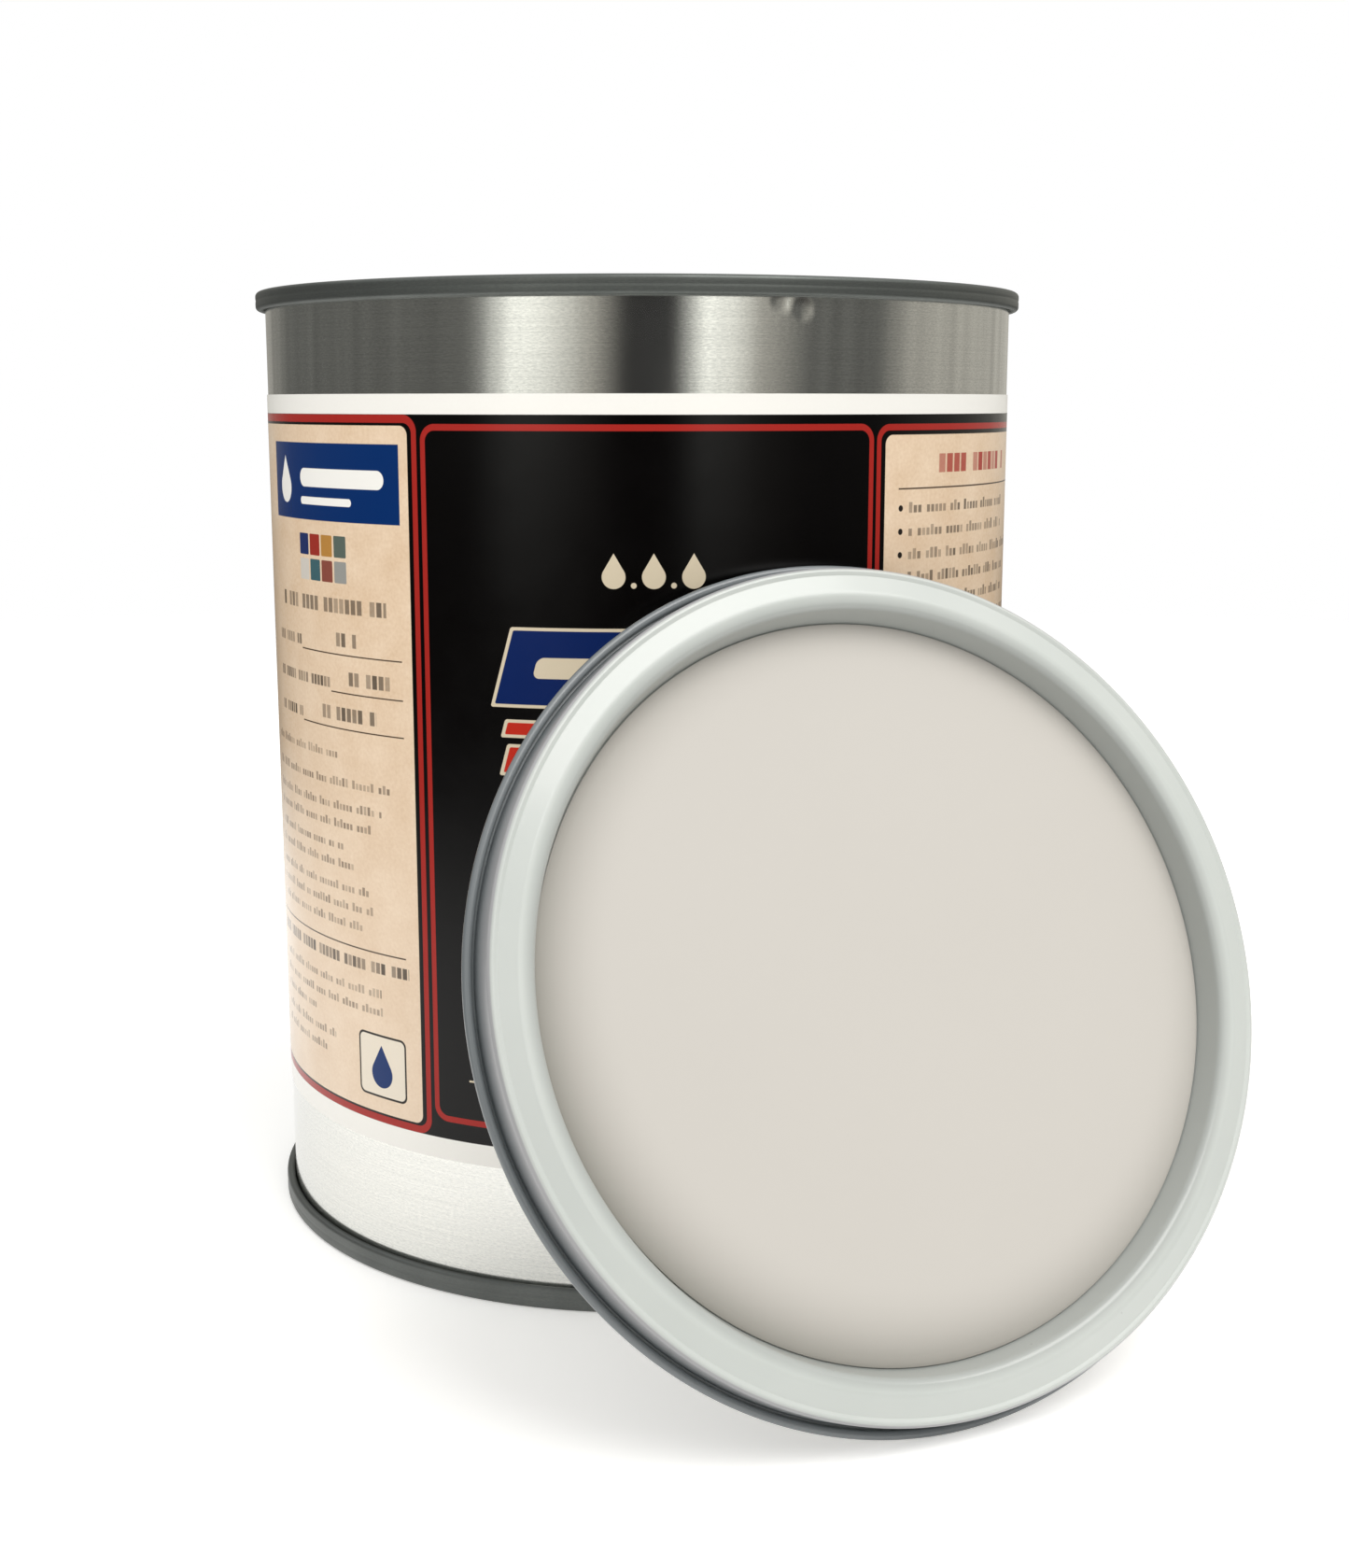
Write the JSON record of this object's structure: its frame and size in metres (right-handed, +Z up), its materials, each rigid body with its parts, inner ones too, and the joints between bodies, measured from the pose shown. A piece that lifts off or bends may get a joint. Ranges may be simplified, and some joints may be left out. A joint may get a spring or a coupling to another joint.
{
  "type": "paint can",
  "caption": "Round tinplate paint can with seamed rims, a grooved friction ring and a paper wrap label, its pressed lid off and leaning on the front.",
  "frame": {"origin": "on the can's axis, in the plane that the bottom seam stands on", "axes": "+Z up along the can's axis, -Y towards the front of the label, +X to the right of the label; the lid leans on the can between -Y and +X"},
  "size_m": [0.1311, 0.151, 0.131],
  "materials": {
    "body_tin": "satin tinplate with fine grain round the can",
    "ring_tin": "dull dark tinplate",
    "bottom_tin": "dull dark tinplate",
    "seam_compound": "dull",
    "label_paper": "semi-gloss print, black field with white edges and cream side panels",
    "lid_enamel": "pale grey gloss enamel",
    "dried_paint": "smooth satin paint"
  },
  "bodies": {
    "can": {"body_shell": "body_tin", "top_ring": "ring_tin", "bottom_end": "bottom_tin", "top_seam_compound": "seam_compound", "bottom_seam_compound": "seam_compound", "label": "label_paper"},
    "lid": {"lid_plate": "lid_enamel", "lid_paint_film": "dried_paint"}
  },
  "joints": [
    {"name": "lid_swing", "type": "hinge", "parent": "can", "child": "lid", "pos_m": [0.02583, -0.06026, 0.11587], "axis": [-0.9191, -0.3939, 0], "range_deg": [0, 247.9]}
  ]
}
